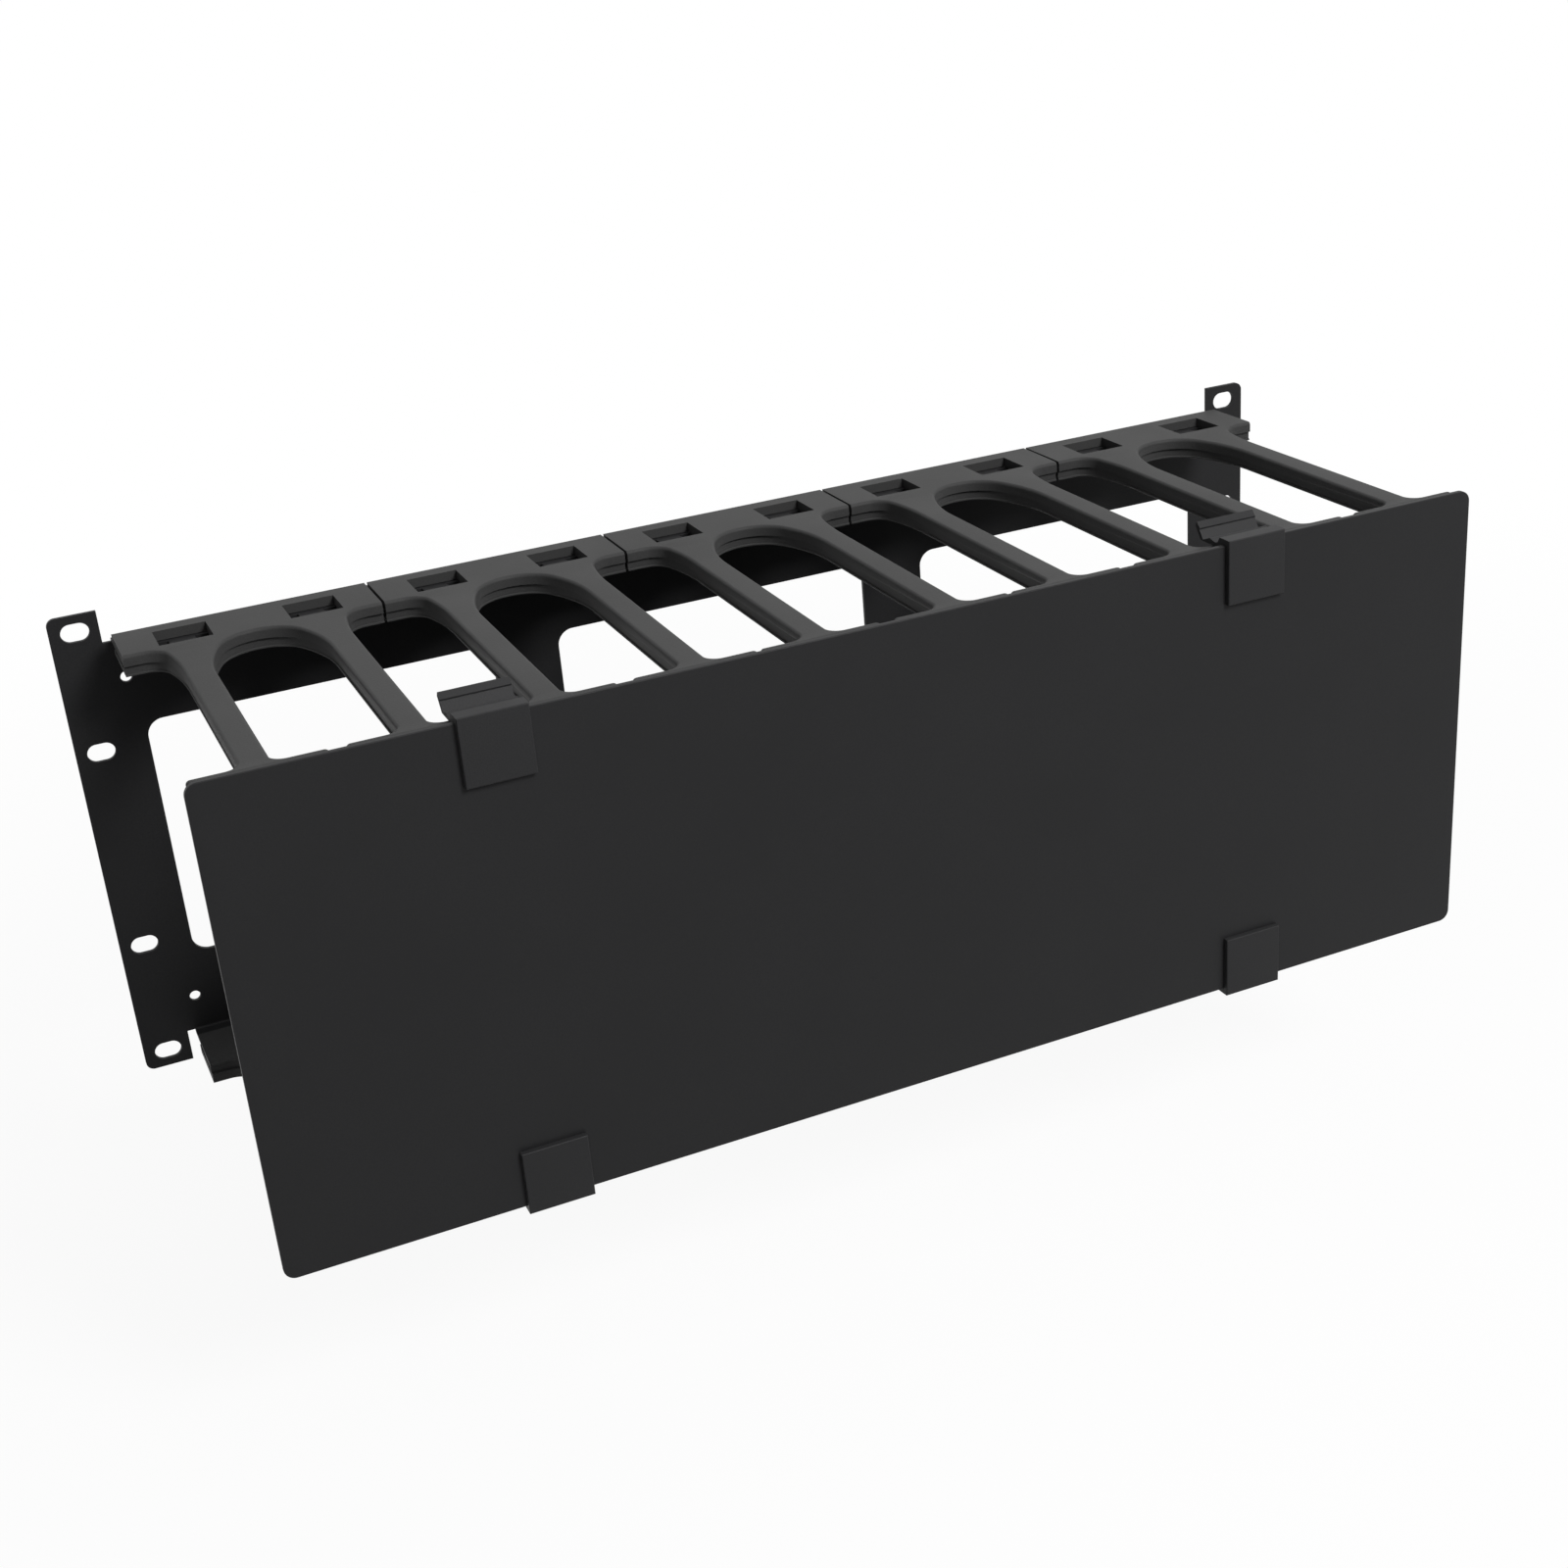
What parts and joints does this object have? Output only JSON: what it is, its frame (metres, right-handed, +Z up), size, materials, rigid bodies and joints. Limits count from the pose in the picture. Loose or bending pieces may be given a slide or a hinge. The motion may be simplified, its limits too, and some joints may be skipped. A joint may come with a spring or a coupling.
{
  "type": "horizontal cable manager",
  "caption": "Rack-mount horizontal cable manager: folded panel with cable cut-outs, rows of grooved T-ended fingers above and below, and a hinged flat front cover.",
  "frame": {"origin": "centre of the panel's rear face, midway between the rack slots", "axes": "+X along the panel to the right seen from the front, +Y into the rack, +Z up; the fingers and the cover are towards -Y"},
  "size_m": [0.4826, 0.1665, 0.1774],
  "materials": {
    "panel_steel": "black powder coat on folded steel sheet",
    "finger_plastic": "moulded in dark grey, fine matt texture",
    "cover_plastic": "smooth satin sheet, near black",
    "clip_plastic": "moulded in near black, fine matt texture"
  },
  "bodies": {
    "frame": {"rear_panel": "panel_steel", "upper_finger_module_1": "finger_plastic", "upper_finger_module_2": "finger_plastic", "upper_finger_module_3": "finger_plastic", "upper_finger_module_4": "finger_plastic", "upper_finger_module_5": "finger_plastic", "lower_finger_module_1": "finger_plastic", "lower_finger_module_2": "finger_plastic", "lower_finger_module_3": "finger_plastic", "lower_finger_module_4": "finger_plastic", "lower_finger_module_5": "finger_plastic"},
    "cover": {"front_cover": "cover_plastic", "upper_left_clip": "clip_plastic", "upper_right_clip": "clip_plastic", "lower_left_clip": "clip_plastic", "lower_right_clip": "clip_plastic"}
  },
  "joints": [
    {"name": "cover_hinge", "type": "hinge", "parent": "frame", "child": "cover", "pos_m": [0, -0.1564, -0.0809], "axis": [1, 0, 0], "range_deg": [0, 110]}
  ]
}
